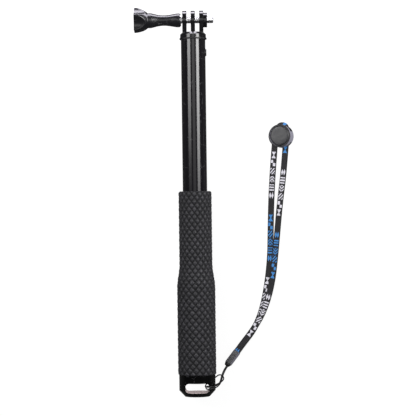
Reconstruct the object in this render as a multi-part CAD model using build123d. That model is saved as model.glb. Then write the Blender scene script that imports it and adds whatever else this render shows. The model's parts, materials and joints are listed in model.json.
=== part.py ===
"""Telescoping camera pole with a three-prong head, a thumb screw and a wrist lanyard.

Frame, in millimetres: the pole lies on a table. +Y runs along its axis from the base to the head, +X towards
the thumb screw's free tip and +Z up. The origin is the centre of the end cap's base face.
"""

from build123d import *
import math
import os

# ---------------------------------------------------------------- driving dimensions
RUN_FIT = 0.05               # radial clearance of a sliding or turning fit
FACE_GAP = 0.2               # axial gap between faces that turn on each other

# end cap
CAP_R = 13.0
CAP_H = 15.4
CAP_CHAMFER_R = 4.1
CAP_CHAMFER_H = 4.4
CAP_SPIGOT_H = 5.0
SLOT_W = 17.4
SLOT_H = 7.0
SLOT_CORNER_R = 3.0
SLOT_FLOOR = 2.9             # base face to the slot's lower edge
PIN_R = 1.0
BUMP_STOP_H = 3.0
BUMP_STOP_R = 9.3

# handle
GRIP_LENGTH = 131.7
GRIP_WIDE_R = 13.75
GRIP_SLIM_R = 11.9
GRIP_FLARE_START = 62.6      # from the grip's lower end
GRIP_FLARE_LENGTH = 17.0
GRIP_LIP = 1.5               # rubber lip over the handle tube's mouth
GRIP_LIP_GAP = 0.3
GRIP_END_R = 0.8

# tubes, largest first: handle, lower, middle, upper
TUBE_R = (10.5, 8.75, 7.1, 5.5)
TUBE_WALL = (1.0, 0.8, 0.8, 0.8)
BUSHING_H = 12.0
LOWER_MOUTH = 256.0          # mouth of the lower tube, from the base face
NEST_STEP = 14.0             # how much higher each nested tube's lower end stands
LOWER_FOOT = 123.0           # lower end of the lower tube
PLUG_H = 5.0
NUB_R = 2.5                  # snap nub of the lower tube's bushing
NUB_PROUD = 0.7
NUB_BELOW_MOUTH = 9.4
NUB_HOLE_GAP = 0.05

# twist locks
LOCK_H = 8.0                 # from a tube's lower end down to the lock screw's head
LOCK_HEAD_H = 1.0
LOCK_TAPER = 1.0             # how much the lock's cone loses in radius
LOCK_SPLIT = 1.2
LOCK_CONE_R = (4.4, 4.2, 3.6)
LOCK_SCREW_R = (1.5, 1.5, 1.25)
LOCK_HEAD_R = (4.4, 3.9, 3.4)
LOCK_SCREW_LENGTH = 8.0

# camera head
COLLAR_H = 5.1
COLLAR_TOP_R = 7.6
COLLAR_R = 9.25
COLLAR_CHAMFER_H = 1.5
RING_H = 1.0
RING_R = 9.7
MOUTH_GAP = 0.1
PRONG_T = 3.0
PRONG_GAP = 3.05
PRONG_R = 6.8
PRONG_FOOT_HALF = 5.2
AXIS_ABOVE_COLLAR = 8.8
PRONG_EDGE = 0.25
SPIGOT_H = 13.0
BOSS_R = 5.25
BOSS_H = 2.7
NUT_FLATS = 8.0
NUT_T = 2.4

# thumb screw
STUD_R = 2.45
STUD_TIP = 14.7
STUD_TIP_CHAMFER = 0.5
STUD_HEAD_R = 3.5
STUD_HEAD_T = 3.0
WASHER_R = 4.2
WASHER_T = 0.5
STEM_END = -9.0
STEM_KNOB_END = -32.3
STEM_R = 4.95
STEM_KNOB_R = 5.35
STEM_WAIST_R = 3.75
STEM_WAIST_AT = -21.4
STEM_CYLINDER = 2.6          # straight lengths at the stem's two ends
KNOB_END = -42.3
KNOB_R = 9.5
KNOB_SHOULDER_R = 6.4
KNOB_FACE_DISH = 0.8
SCOOPS = 5
SCOOP_R = 10.0
SCOOP_CENTRE_R = 16.6
SCOOP_FROM_END = 1.3
SCOOP_FIRST_DEG = -12.0      # first scoop, from +Z towards +Y

# lanyard
TETHER_D = 0.95
STRAP_W = 4.5
STRAP_T = 1.0
CLIP_LENGTH = 13.3
CLIP_W = 4.7
CLIP_T = 4.0
CLIP_TAPER = 1.1
CLIP_ROLL = 21.0
CLIP_CENTRE = (25.15, 25.75)
CLIP_HEADING = 52.35         # from +X towards +Y
SLIDER_R = 8.3
SLIDER_H = 8.2
SLIDER_RIM = 1.0
SLIDER_BACK = 0.9
SLIDER_SLOT_H = 2.4
SLIDER_ARCH_H = 4.6           # window that the arch turns on edge through
SLIDER_TILT = 21.0
SLIDER_LEAN = 5.15           # heading of the strap at the slider, from +Y towards +X
SLIDER_CENTRE = (64.1, 186.1)  # centre of the slider's back face
BUTTON_T = 1.6
BUTTON_STEM_R = 0.7
BUTTON_GAP = 0.15
BUTTON_PROUD = 0.2
SPRING_R = 1.15
SPRING_WIRE_R = 0.17
SPRING_TURNS = 6

# Routes, point by point. The strap runs from the clip up its left run, over the slider and back.
STRAP_ROUTE = [
    (27.5, 28.5, -11.6), (33.2, 36.1, -12.1), (41.6, 46.6, -12.4), (47.4, 59.8, -12.4),
    (51.3, 77.6, -12.4), (53.8, 98.0, -12.4), (54.4, 118.0, -12.3), (55.0, 138.0, -11.4),
    (56.1, 157.0, -10.4), (57.5, 173.5, -10.4), (58.6, 185.4, -10.4), (59.5, 193.5, -10.3),
    (61.8, 196.5, -9.5), (66.1, 195.9, -7.9), (67.3, 192.0, -7.3), (66.4, 184.6, -7.4),
    (65.3, 173.0, -7.4), (63.8, 157.0, -7.4), (61.4, 139.5, -8.0), (59.5, 121.0, -9.0),
    (57.6, 101.5, -9.6), (54.9, 79.5, -9.9), (49.3, 60.8, -10.6), (41.3, 46.9, -11.2),
    (32.8, 36.4, -10.9), (27.2, 28.8, -10.5),
]
# The tether runs from the clip over the front of the slot's wall, round behind it, through the hitch and back.
TETHER_ROUTE = [
    (22.4, 22.1, -11.2), (20.2, 19.2, -10.7), (18.4, 16.2, -9.0), (17.3, 12.9, -6.4), (16.4, 9.9, -1.6),
    (14.6, 8.3, 3.6), (12.0, 7.5, 8.6), (8.5, 7.3, 11.4), (6.0, 7.3, 8.8), (5.6, 7.2, 4.0),
    (5.9, 7.3, -1.0), (6.0, 7.4, -6.0), (6.7, 7.9, -10.9), (9.6, 9.6, -12.5), (13.0, 12.6, -10.4),
    (15.4, 14.8, -7.2), (17.7, 14.9, -5.4), (19.4, 13.2, -5.0), (19.3, 10.8, -6.4), (16.8, 8.8, -8.4),
    (13.4, 7.0, -10.8), (9.6, 5.9, -12.4), (6.7, 5.9, -10.2), (6.1, 5.9, -5.6), (6.1, 5.8, -0.8),
    (6.2, 5.9, 4.4), (6.7, 5.8, 9.2), (9.2, 5.8, 11.6), (12.8, 6.3, 8.8), (15.7, 7.4, 3.6),
    (17.5, 9.2, -1.8), (18.3, 12.0, -7.4), (19.8, 15.2, -10.0), (21.4, 18.3, -11.1), (23.5, 21.3, -11.4),
]

# ---------------------------------------------------------------- worked out from them
TABLE_Z = -GRIP_WIDE_R
GRIP_TOP = CAP_H + GRIP_LENGTH
HANDLE_MOUTH = GRIP_TOP - GRIP_LIP
COLLAR_BASE = LOWER_MOUTH + MOUTH_GAP
COLLAR_TOP = COLLAR_BASE + COLLAR_H
SCREW_Y = COLLAR_TOP + AXIS_ABOVE_COLLAR
HEAD_HALF = 1.5 * PRONG_T + PRONG_GAP
PRONG_PITCH = PRONG_T + PRONG_GAP
PRONG_HOLE_R = STUD_R + 0.15
SLOT_Y = SLOT_FLOOR + SLOT_H / 2
STAGES = ("lower", "middle", "upper")

os.makedirs("parts", exist_ok=True)


def save(part, node):
    """Write one node's solids."""
    export_step(part, f"parts/{node}.step")


def rod(radius, low, high):
    """A cylinder along the pole, between two heights."""
    return Pos(0, (low + high) / 2, 0) * Rot(90, 0, 0) * Cylinder(radius, high - low)


def ring(outer, inner, low, high):
    """A tube along the pole."""
    return rod(outer, low, high) - rod(inner, low - 1, high + 1)


def cross_rod(radius, left, right, height=0.0):
    """A cylinder along X at a height on the pole."""
    return Pos((left + right) / 2, height, 0) * Rot(0, 90, 0) * Cylinder(radius, right - left)


def turned(outline, axis=Axis.Y):
    """A solid of revolution about the pole or about X."""
    return revolve(make_face(outline), axis)


def inner_radius(stage):
    """Bore of a tube, counted from the handle's, which is 0."""
    return TUBE_R[stage] - TUBE_WALL[stage]


def foot_of(stage):
    """Lower end of tube 1, 2 or 3."""
    return LOWER_FOOT + NEST_STEP * (stage - 1)


# ---------------------------------------------------------------- handle
def end_cap():
    """Chamfered cap with a rounded slot across it and a spigot."""
    outline = Polyline(
        (0, 0), (CAP_R - CAP_CHAMFER_R, 0), (CAP_R, CAP_CHAMFER_H), (CAP_R, CAP_H),
        (inner_radius(0), CAP_H), (inner_radius(0), CAP_H + CAP_SPIGOT_H), (0, CAP_H + CAP_SPIGOT_H), (0, 0),
    )
    slot_face = Pos(0, SLOT_Y, -2 * CAP_R) * RectangleRounded(SLOT_W, SLOT_H, SLOT_CORNER_R)
    pin_y = CAP_H + CAP_SPIGOT_H / 2
    pin_hole = Pos(0, pin_y, 0) * Cylinder(PIN_R, 2 * TUBE_R[0] + 1)
    return turned(outline) - extrude(slot_face, 4 * CAP_R) - pin_hole


def cap_pin():
    """Cross pin through the handle tube and the cap's spigot."""
    return Pos(0, CAP_H + CAP_SPIGOT_H / 2, 0) * Cylinder(PIN_R, 2 * TUBE_R[0] - 0.4)


def handle_tube():
    """Outer tube under the grip."""
    pin_hole = Pos(0, CAP_H + CAP_SPIGOT_H / 2, 0) * Cylinder(PIN_R, 2 * TUBE_R[0] + 1)
    return ring(TUBE_R[0], inner_radius(0), CAP_H, HANDLE_MOUTH) - pin_hole


def grip_sleeve():
    """Rubber sleeve: wide below, slim above, with a lip over the tube's mouth."""
    flare_low = CAP_H + GRIP_FLARE_START
    flare_high = flare_low + GRIP_FLARE_LENGTH
    lip_r = TUBE_R[1] + GRIP_LIP_GAP
    outline = Polyline(
        (TUBE_R[0], CAP_H), (GRIP_WIDE_R, CAP_H), (GRIP_WIDE_R, flare_low), (GRIP_SLIM_R, flare_high),
        (GRIP_SLIM_R, GRIP_TOP), (lip_r, GRIP_TOP), (lip_r, HANDLE_MOUTH), (TUBE_R[0], HANDLE_MOUTH),
        (TUBE_R[0], CAP_H),
    )
    sleeve = turned(outline)
    ends = [
        edge for edge in sleeve.edges().filter_by(GeomType.CIRCLE)
        if edge.radius in (GRIP_WIDE_R, GRIP_SLIM_R) and abs(edge.center().Y - CAP_H) < 0.01
        or abs(edge.radius - GRIP_SLIM_R) < 0.01 and abs(edge.center().Y - GRIP_TOP) < 0.01
    ]
    return fillet(ends, GRIP_END_R)


# ---------------------------------------------------------------- telescoping stages
def stage_tube(stage):
    """Tube 1, 2 or 3; the upper one ends under the camera head's collar ring."""
    mouth = LOWER_MOUTH if stage < 3 else COLLAR_BASE + RING_H
    tube = ring(TUBE_R[stage], inner_radius(stage), foot_of(stage), mouth)
    if stage == 1:
        nub_y = LOWER_MOUTH - NUB_BELOW_MOUTH
        tube -= cross_rod(NUB_R + NUB_HOLE_GAP, 0, 2 * TUBE_R[1], nub_y)
    if stage == 3:
        tube -= Pos(0, LOWER_MOUTH - SPIGOT_H / 2, 0) * Cylinder(PIN_R, 3 * TUBE_R[3])
    return tube


def mouth_bushing(stage, mouth):
    """Guide bushing in a tube's mouth, with a running fit on the next tube."""
    return ring(inner_radius(stage), TUBE_R[stage + 1] + RUN_FIT, mouth - BUSHING_H, mouth)


def lower_tube_bushing():
    """The lower tube's bushing, with the snap nub that holds it."""
    bushing = mouth_bushing(1, LOWER_MOUTH)
    nub_y = LOWER_MOUTH - NUB_BELOW_MOUTH
    nub = cross_rod(NUB_R, TUBE_R[2] + 0.4, TUBE_R[1] + NUB_PROUD, nub_y)
    crown = nub.edges().filter_by(GeomType.CIRCLE).sort_by(Axis.X)[-1]
    return bushing + fillet(crown, NUB_PROUD * 0.6)


def tube_plug(stage):
    """Plug in a tube's lower end, with the cone that spreads the lock sleeve."""
    foot = foot_of(stage)
    cone_r = LOCK_CONE_R[stage - 1]
    low = foot - LOCK_H + LOCK_HEAD_H
    outline = Polyline(
        (0, low), (cone_r - LOCK_TAPER, low), (cone_r, foot), (inner_radius(stage), foot),
        (inner_radius(stage), foot + PLUG_H), (0, foot + PLUG_H), (0, low),
    )
    screw_hole = rod(LOCK_SCREW_R[stage - 1], low - 1, low + LOCK_SCREW_LENGTH)
    return turned(outline) - screw_hole


def lock_sleeve(stage):
    """Split sleeve that rides on the plug's cone and grips the next tube out."""
    foot = foot_of(stage)
    cone_r = LOCK_CONE_R[stage - 1] + RUN_FIT
    low = foot - LOCK_H + LOCK_HEAD_H
    high = foot - FACE_GAP
    slope = LOCK_TAPER / (foot - low)
    outer = inner_radius(stage - 1) - RUN_FIT
    outline = Polyline(
        (cone_r - slope * (foot - low - FACE_GAP), low + FACE_GAP), (outer, low + FACE_GAP), (outer, high),
        (cone_r - slope * FACE_GAP, high), (cone_r - slope * (foot - low - FACE_GAP), low + FACE_GAP),
    )
    split = Pos(0, (low + high) / 2, -outer) * Box(LOCK_SPLIT, LOCK_H * 2, 2 * outer)
    return turned(outline) - split


def lock_screw(stage):
    """Screw under the plug's cone that keeps the sleeve on."""
    top = foot_of(stage) - LOCK_H + LOCK_HEAD_H
    head = rod(LOCK_HEAD_R[stage - 1], top - LOCK_HEAD_H, top)
    slot = Pos(0, top - LOCK_HEAD_H, 0) * Box(2 * LOCK_HEAD_R[stage - 1], LOCK_HEAD_H, 0.8)
    return head + rod(LOCK_SCREW_R[stage - 1], top, top + LOCK_SCREW_LENGTH - 0.5) - slot


# ---------------------------------------------------------------- camera head
def prong_outline():
    """Side view of a prong: round about the screw, tapering to the collar."""
    reach = SCREW_Y - COLLAR_TOP
    round_top = Pos(SCREW_Y, 0) * Circle(PRONG_R)
    foot = COLLAR_BASE + RING_H
    sides = make_face(Polyline(
        (SCREW_Y, PRONG_R), (SCREW_Y - reach, PRONG_FOOT_HALF), (foot, PRONG_FOOT_HALF),
        (foot, -PRONG_FOOT_HALF), (SCREW_Y - reach, -PRONG_FOOT_HALF), (SCREW_Y, -PRONG_R), (SCREW_Y, PRONG_R),
    ))
    return round_top + sides


def prong(centre):
    """One prong with eased edges, standing in the collar."""
    plane = Plane(origin=(centre - PRONG_T / 2, 0, 0), x_dir=(0, 1, 0), z_dir=(1, 0, 0))
    body = extrude(plane * prong_outline(), PRONG_T)
    rims = [edge for edge in body.edges() if edge.center().Y > COLLAR_TOP and abs(edge.tangent_at(0.5).X) < 0.5]
    return chamfer(rims, PRONG_EDGE)


def camera_head():
    """Collar, spigot, three prongs and the nut's boss in one moulding."""
    outline = Polyline(
        (0, COLLAR_BASE - SPIGOT_H), (inner_radius(3), COLLAR_BASE - SPIGOT_H),
        (inner_radius(3), COLLAR_BASE + RING_H), (COLLAR_R, COLLAR_BASE + RING_H),
        (COLLAR_R, COLLAR_TOP - COLLAR_CHAMFER_H), (COLLAR_TOP_R, COLLAR_TOP), (0, COLLAR_TOP),
        (0, COLLAR_BASE - SPIGOT_H),
    )
    head = turned(outline)
    for side in (-1, 0, 1):
        head += prong(side * PRONG_PITCH)
    head += cross_rod(BOSS_R, HEAD_HALF, HEAD_HALF + BOSS_H, SCREW_Y)
    nut_face = Plane(origin=(HEAD_HALF, SCREW_Y, 0), x_dir=(0, 1, 0), z_dir=(1, 0, 0))
    nut_pocket = extrude(nut_face * RegularPolygon(NUT_FLATS / 2, 6, major_radius=False), BOSS_H + 1)
    screw_hole = cross_rod(PRONG_HOLE_R, -2 * HEAD_HALF, 2 * HEAD_HALF, SCREW_Y)
    pin_hole = Pos(0, LOWER_MOUTH - SPIGOT_H / 2, 0) * Cylinder(PIN_R, 3 * TUBE_R[3])
    return head - nut_pocket - screw_hole - pin_hole


def head_pin():
    """Cross pin through the upper tube and the head's spigot."""
    return Pos(0, LOWER_MOUTH - SPIGOT_H / 2, 0) * Cylinder(PIN_R, 2 * TUBE_R[3] - 0.4)


def clamp_nut():
    """Hexagon nut in the boss, with a running fit on the stud."""
    nut_face = Plane(origin=(HEAD_HALF, SCREW_Y, 0), x_dir=(0, 1, 0), z_dir=(1, 0, 0))
    nut = extrude(nut_face * RegularPolygon(NUT_FLATS / 2, 6, major_radius=False), NUT_T)
    return nut - cross_rod(STUD_R + RUN_FIT, HEAD_HALF - 1, HEAD_HALF + BOSS_H + 1, SCREW_Y)


# ---------------------------------------------------------------- thumb screw
def thumb_screw_knob():
    """Scooped knob and its waisted stem."""
    waist = ThreePointArc(
        (STEM_KNOB_END + STEM_CYLINDER, STEM_KNOB_R), (STEM_WAIST_AT, STEM_WAIST_R),
        (STEM_END - STEM_CYLINDER, STEM_R),
    )
    bell = Spline(
        (KNOB_END + 0.9, KNOB_R), (KNOB_END + 4.6, KNOB_R - 1.0), (KNOB_END + 8.0, KNOB_SHOULDER_R),
        (STEM_KNOB_END, STEM_KNOB_R), tangents=((1, -0.12), (1, -0.25)),
    )
    outline = (
        Polyline((KNOB_END + KNOB_FACE_DISH, 0), (KNOB_END, KNOB_R * 0.72), (KNOB_END, KNOB_R - 0.5),
                 (KNOB_END + 0.9, KNOB_R))
        + bell + Line((STEM_KNOB_END, STEM_KNOB_R), (STEM_KNOB_END + STEM_CYLINDER, STEM_KNOB_R)) + waist
        + Polyline((STEM_END - STEM_CYLINDER, STEM_R), (STEM_END, STEM_R), (STEM_END, 0),
                   (KNOB_END + KNOB_FACE_DISH, 0))
    )
    knob = turned(outline, Axis.X)
    for index in range(SCOOPS):
        angle = math.radians(SCOOP_FIRST_DEG + index * 360 / SCOOPS)
        centre = (KNOB_END + SCOOP_FROM_END, SCOOP_CENTRE_R * math.sin(angle), SCOOP_CENTRE_R * math.cos(angle))
        knob -= Pos(*centre) * Sphere(SCOOP_R)
    head_low = STEM_KNOB_END - STUD_HEAD_T
    cavity = cross_rod(STUD_HEAD_R, head_low, STEM_KNOB_END) + cross_rod(STUD_R, head_low, STEM_END + 1)
    return Pos(0, SCREW_Y, 0) * (knob - cavity)


def thumb_screw_stud():
    """Steel stud with a head held in the knob."""
    head_low = STEM_KNOB_END - STUD_HEAD_T
    shank = cross_rod(STUD_R, head_low, STUD_TIP)
    shank = chamfer(shank.edges().filter_by(GeomType.CIRCLE).sort_by(Axis.X)[-1], STUD_TIP_CHAMFER)
    return Pos(0, SCREW_Y, 0) * (shank + cross_rod(STUD_HEAD_R, head_low, STEM_KNOB_END))


def screw_washer():
    """Washer between the stem and the first prong."""
    low, high = STEM_END, STEM_END + WASHER_T
    return Pos(0, SCREW_Y, 0) * (cross_rod(WASHER_R, low, high) - cross_rod(STUD_R + RUN_FIT, low - 1, high + 1))


# ---------------------------------------------------------------- lanyard
def bend_radii(points, node):
    """Each corner's arc, as large as its two runs allow, printed with the sharpest turn."""
    corners = [Vector(*point) for point in points]
    radii = []
    turns = []
    for before, here, after in zip(corners, corners[1:], corners[2:]):
        turn = (here - before).get_angle(after - here)
        shorter = min((here - before).length, (after - here).length)
        radii.append(0.45 * shorter / math.tan(math.radians(turn) / 2))
        turns.append(turn)
    length = sum((b - a).length for a, b in zip(corners, corners[1:]))
    print(node, "radii", [round(radius, 1) for radius in radii], "sharpest turn", round(max(turns), 1))
    print(node, "runs", [round((b - a).length, 1) for a, b in zip(corners, corners[1:])], "sum", round(length, 1))
    return radii


def wrist_strap():
    """Flat webbing loop, its two ends stacked in the clip."""
    path = FilletPolyline(*STRAP_ROUTE, radius=bend_radii(STRAP_ROUTE, "wrist_strap"))
    start = path @ 0
    heading = path % 0
    level = heading.cross(Vector(0, 0, 1)).normalized()
    across = level.rotate(Axis((0, 0, 0), tuple(heading)), -SLIDER_TILT)
    section = Plane(origin=start, x_dir=across, z_dir=heading) * Rectangle(STRAP_W, STRAP_T)
    strap = sweep(section, path=path)
    print("wrist_strap volume", round(strap.volume, 1), "of", round(STRAP_W * STRAP_T * path.length, 1))
    print("wrist_strap length", round(path.length, 1))
    return strap


def tether_cord():
    """Thin cord loop hitched on the slot's wall."""
    path = FilletPolyline(*TETHER_ROUTE, radius=bend_radii(TETHER_ROUTE, "tether_cord"))
    section = Plane(origin=path @ 0, z_dir=path % 0) * Circle(TETHER_D / 2)
    cord = sweep(section, path=path)
    area = math.pi * TETHER_D**2 / 4
    print("tether_cord volume", round(cord.volume, 2), "of", round(area * path.length, 2))
    print("tether_cord length", round(path.length, 1))
    return cord


def clip_place():
    """The clip's own frame: Y along it towards the strap, Z out of its front half."""
    half_height = CLIP_T / 2 * math.cos(math.radians(CLIP_ROLL)) + CLIP_W / 2 * math.sin(math.radians(CLIP_ROLL))
    centre = (CLIP_CENTRE[0], CLIP_CENTRE[1], TABLE_Z + half_height)
    return Pos(*centre) * Rot(0, 0, CLIP_HEADING - 90) * Rot(0, -CLIP_ROLL, 0)


def clip_half(front):
    """One half of the clip, narrower at the tether's end."""
    low, high, wide = -CLIP_LENGTH / 2, CLIP_LENGTH / 2, CLIP_W / 2
    face = make_face(Polyline(
        (-wide, high), (-wide, low + 2.6), (-wide + CLIP_TAPER, low), (wide - CLIP_TAPER, low),
        (wide, low + 2.6), (wide, high), (-wide, high),
    ))
    half = extrude(face, CLIP_T / 2 if front else -CLIP_T / 2)
    outer = half.faces().sort_by(Axis.Z)[-1 if front else 0]
    return clip_place() * chamfer(outer.edges(), 0.6)


def slider_place():
    """The slider's own frame: Y along the strap, Z out of its button, origin on its back face."""
    drop = SLIDER_R * math.sin(math.radians(SLIDER_TILT))
    centre = (SLIDER_CENTRE[0], SLIDER_CENTRE[1], TABLE_Z + drop)
    return Pos(*centre) * Rot(0, 0, -SLIDER_LEAN) * Rot(0, -SLIDER_TILT, 0)


def slider_housing():
    """Round cup that the strap's two runs pass through."""
    cup = Pos(0, 0, SLIDER_H / 2) * Cylinder(SLIDER_R, SLIDER_H)
    cup = fillet(cup.edges().filter_by(GeomType.CIRCLE), 0.35)
    hollow_r = SLIDER_R - SLIDER_RIM
    cup -= Pos(0, 0, SLIDER_BACK + SLIDER_H / 2) * Cylinder(hollow_r, SLIDER_H)
    slot_z = SLIDER_BACK + SLIDER_SLOT_H / 2
    cup -= Pos(0, -SLIDER_R, slot_z) * Box(2 * hollow_r, 2 * SLIDER_R, SLIDER_SLOT_H)
    cup -= Pos(0, SLIDER_R, SLIDER_BACK + SLIDER_ARCH_H / 2) * Box(2 * hollow_r, 2 * SLIDER_R, SLIDER_ARCH_H)
    return slider_place() * cup


def slider_button():
    """Press button in the housing's mouth, with the stem that its spring sits on."""
    top = SLIDER_H + BUTTON_PROUD
    under = top - BUTTON_T
    disc = Pos(0, 0, top - BUTTON_T / 2) * Cylinder(SLIDER_R - SLIDER_RIM - BUTTON_GAP, BUTTON_T)
    disc = fillet(disc.edges().filter_by(GeomType.CIRCLE).sort_by(Axis.Z)[-1], 0.4)
    stem_low = SLIDER_BACK + 1.9
    stem = Pos(0, 0, (stem_low + under + 0.1) / 2) * Cylinder(BUTTON_STEM_R, under + 0.1 - stem_low)
    return slider_place() * (disc + stem)


def slider_spring():
    """Coil spring between the housing's back and the button."""
    low = SLIDER_BACK + SPRING_WIRE_R
    high = SLIDER_H + BUTTON_PROUD - BUTTON_T - SPRING_WIRE_R
    coil = Helix(pitch=(high - low) / SPRING_TURNS, height=high - low, radius=SPRING_R)
    coil = Pos(0, 0, low) * coil
    wire = sweep(Plane(origin=coil @ 0, z_dir=coil % 0) * Circle(SPRING_WIRE_R), path=coil, is_frenet=True)
    return slider_place() * wire


save(end_cap(), "end_cap")
save(cap_pin(), "cap_pin")
save(rod(BUMP_STOP_R, CAP_H + CAP_SPIGOT_H, CAP_H + CAP_SPIGOT_H + BUMP_STOP_H), "bump_stop")
save(handle_tube(), "handle_tube")
save(mouth_bushing(0, HANDLE_MOUTH), "handle_bushing")
save(grip_sleeve(), "grip_sleeve")
for number, name in enumerate(STAGES, start=1):
    save(stage_tube(number), f"{name}_tube")
    save(tube_plug(number), f"{name}_tube_plug")
    save(lock_sleeve(number), f"{name}_lock_sleeve")
    save(lock_screw(number), f"{name}_lock_screw")
save(lower_tube_bushing(), "lower_tube_bushing")
save(mouth_bushing(2, LOWER_MOUTH), "middle_tube_bushing")
save(camera_head(), "camera_head")
save(head_pin(), "head_pin")
save(ring(RING_R, TUBE_R[3], COLLAR_BASE, COLLAR_BASE + RING_H), "bumper_ring")
save(clamp_nut(), "clamp_nut")
save(thumb_screw_knob(), "thumb_screw_knob")
save(thumb_screw_stud(), "thumb_screw_stud")
save(screw_washer(), "screw_washer")
save(wrist_strap(), "wrist_strap")
save(tether_cord(), "tether_cord")
save(clip_half(True), "clip_front")
save(clip_half(False), "clip_rear")
save(slider_housing(), "slider_housing")
save(slider_button(), "slider_button")
save(slider_spring(), "slider_spring")
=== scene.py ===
"""Looks for a telescoping camera pole with a thumb screw and a wrist lanyard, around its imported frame.

The pole lies along +Y with its base at 0, the thumb screw points along X and +Z is up.
Lengths are in millimetres until MM turns them into metres.
"""
import json
import math

import bmesh
import bpy
from mathutils import Matrix, Vector


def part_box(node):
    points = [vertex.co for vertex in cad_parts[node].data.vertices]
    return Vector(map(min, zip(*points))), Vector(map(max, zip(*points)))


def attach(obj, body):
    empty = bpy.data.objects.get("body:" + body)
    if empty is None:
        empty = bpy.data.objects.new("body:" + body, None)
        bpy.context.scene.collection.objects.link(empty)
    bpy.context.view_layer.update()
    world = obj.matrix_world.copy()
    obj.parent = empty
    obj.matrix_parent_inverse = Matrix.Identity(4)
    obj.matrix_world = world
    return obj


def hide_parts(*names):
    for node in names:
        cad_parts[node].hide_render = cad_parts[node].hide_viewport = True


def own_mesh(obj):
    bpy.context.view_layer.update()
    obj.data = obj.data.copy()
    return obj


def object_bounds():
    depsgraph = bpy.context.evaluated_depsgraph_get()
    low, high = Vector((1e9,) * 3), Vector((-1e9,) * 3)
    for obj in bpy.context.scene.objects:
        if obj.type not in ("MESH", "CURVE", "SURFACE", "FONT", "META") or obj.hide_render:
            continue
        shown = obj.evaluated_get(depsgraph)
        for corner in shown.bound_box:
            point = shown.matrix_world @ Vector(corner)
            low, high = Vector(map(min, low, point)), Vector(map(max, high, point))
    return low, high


MM = 0.001
TAU = 2 * math.pi
scene = bpy.context.scene
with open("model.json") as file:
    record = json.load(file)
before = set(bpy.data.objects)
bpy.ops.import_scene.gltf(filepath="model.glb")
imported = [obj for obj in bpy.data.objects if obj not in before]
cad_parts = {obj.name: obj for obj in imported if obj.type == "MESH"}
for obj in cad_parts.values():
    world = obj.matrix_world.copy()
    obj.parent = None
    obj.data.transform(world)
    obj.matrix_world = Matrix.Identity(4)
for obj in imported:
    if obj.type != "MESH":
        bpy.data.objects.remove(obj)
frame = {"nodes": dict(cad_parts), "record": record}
NODES = frame["nodes"]
cad_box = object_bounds()
FLOOR_Z = cad_box[0].z / MM

# ------------------------ camera
VIEW_SPAN = 298.8            # the width in view at the pole's axis
CAMERA_HEIGHT = 1300.0
VIEW_CENTRE = (9.2, 135.0)
VIEW_ROLL = 0.73
SENSOR = 36.0
NEAR_LIMIT, FAR_LIMIT = 0.05, 20.0    # in metres

lens = bpy.data.cameras.new("camera")
lens.sensor_width = SENSOR
lens.lens = SENSOR * CAMERA_HEIGHT / VIEW_SPAN
lens.clip_start, lens.clip_end = NEAR_LIMIT, FAR_LIMIT
camera = bpy.data.objects.new("camera", lens)
camera.location = (VIEW_CENTRE[0] * MM, VIEW_CENTRE[1] * MM, CAMERA_HEIGHT * MM)
camera.rotation_euler = (0, 0, -math.radians(VIEW_ROLL))
scene.collection.objects.link(camera)
scene.camera = camera

# ------------------------ shader helpers


def put(tree, kind, inputs=None, **settings):
    """Adds a node; an input may be a number, a colour or another node's output."""
    made = tree.nodes.new(kind)
    for key, value in settings.items():
        setattr(made, key, value)
    for key, value in (inputs or {}).items():
        if isinstance(value, bpy.types.NodeSocket):
            tree.links.new(value, made.inputs[key])
        else:
            made.inputs[key].default_value = value
    return made


def calc(tree, operation, *values):
    """One Math node's output."""
    made = tree.nodes.new("ShaderNodeMath")
    made.operation = operation
    for socket, value in zip(made.inputs, values):
        if isinstance(value, bpy.types.NodeSocket):
            tree.links.new(value, socket)
        else:
            socket.default_value = value
    return made.outputs[0]


def spread(tree, value, low, high, to_low=0.0, to_high=1.0):
    """A value taken from one range to another, clamped."""
    made = put(tree, "ShaderNodeMapRange", {
        "Value": value, "From Min": low, "From Max": high, "To Min": to_low, "To Max": to_high})
    return made.outputs["Result"]


def mix_colour(tree, share, first, second):
    """A blend of two colours."""
    made = tree.nodes.new("ShaderNodeMix")
    made.data_type = "RGBA"
    for name, value in (("Factor", share), ("A", first), ("B", second)):
        kind = "VALUE" if name == "Factor" else "RGBA"
        socket = next(s for s in made.inputs if s.name == name and s.type == kind)
        if isinstance(value, bpy.types.NodeSocket):
            tree.links.new(value, socket)
        else:
            socket.default_value = value if name == "Factor" else (*value, 1.0)
    return next(s for s in made.outputs if s.type == "RGBA")


def stained(tree, body, marks, strength, colour):
    """The body colour with marks of another colour laid over it."""
    return mix_colour(tree, calc(tree, "MULTIPLY", marks, strength), body, colour)


def new_group(name, inputs, outputs):
    """A node group with float or vector sockets; returns it with its input and output nodes."""
    tree = bpy.data.node_groups.new(name, "ShaderNodeTree")
    for label, kind, value in inputs:
        socket = tree.interface.new_socket(name=label, in_out="INPUT", socket_type=kind)
        if value is not None:
            socket.default_value = value
    for label, kind in outputs:
        tree.interface.new_socket(name=label, in_out="OUTPUT", socket_type=kind)
    return tree, tree.nodes.new("NodeGroupInput"), tree.nodes.new("NodeGroupOutput")


FLOAT, POINT = "NodeSocketFloat", "NodeSocketVector"


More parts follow.
